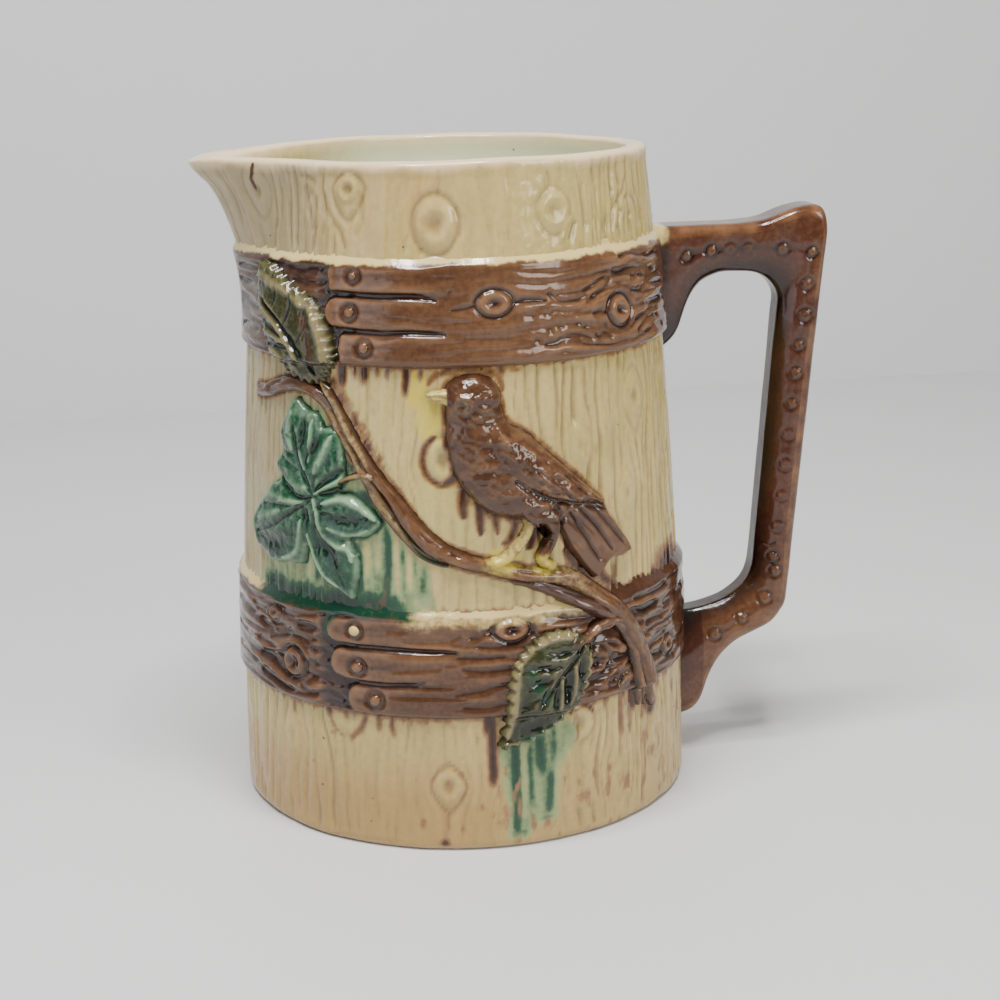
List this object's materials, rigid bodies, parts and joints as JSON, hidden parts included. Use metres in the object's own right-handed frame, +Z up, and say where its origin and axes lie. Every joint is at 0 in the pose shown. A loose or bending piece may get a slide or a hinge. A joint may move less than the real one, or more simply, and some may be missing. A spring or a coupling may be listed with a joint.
{
  "type": "majolica pitcher",
  "caption": "Tapered bucket-shaped ceramic pitcher for pouring drinks, with a pulled lip, a square side handle, plank bands, raised leaves and a bird.",
  "frame": {"origin": "on the axis of the round body, in the plane of the flat underside", "axes": "+Z up, +X from the body's axis towards the handle, -X towards the pouring lip, -Y the side with the bird"},
  "size_m": [0.1862, 0.1384, 0.19],
  "materials": {
    "glaze": "cream lead glaze with brown plank bands, branch, bird and handle and green leaves, all high gloss"
  },
  "bodies": {
    "root": {"pitcher": "glaze"}
  },
  "joints": []
}
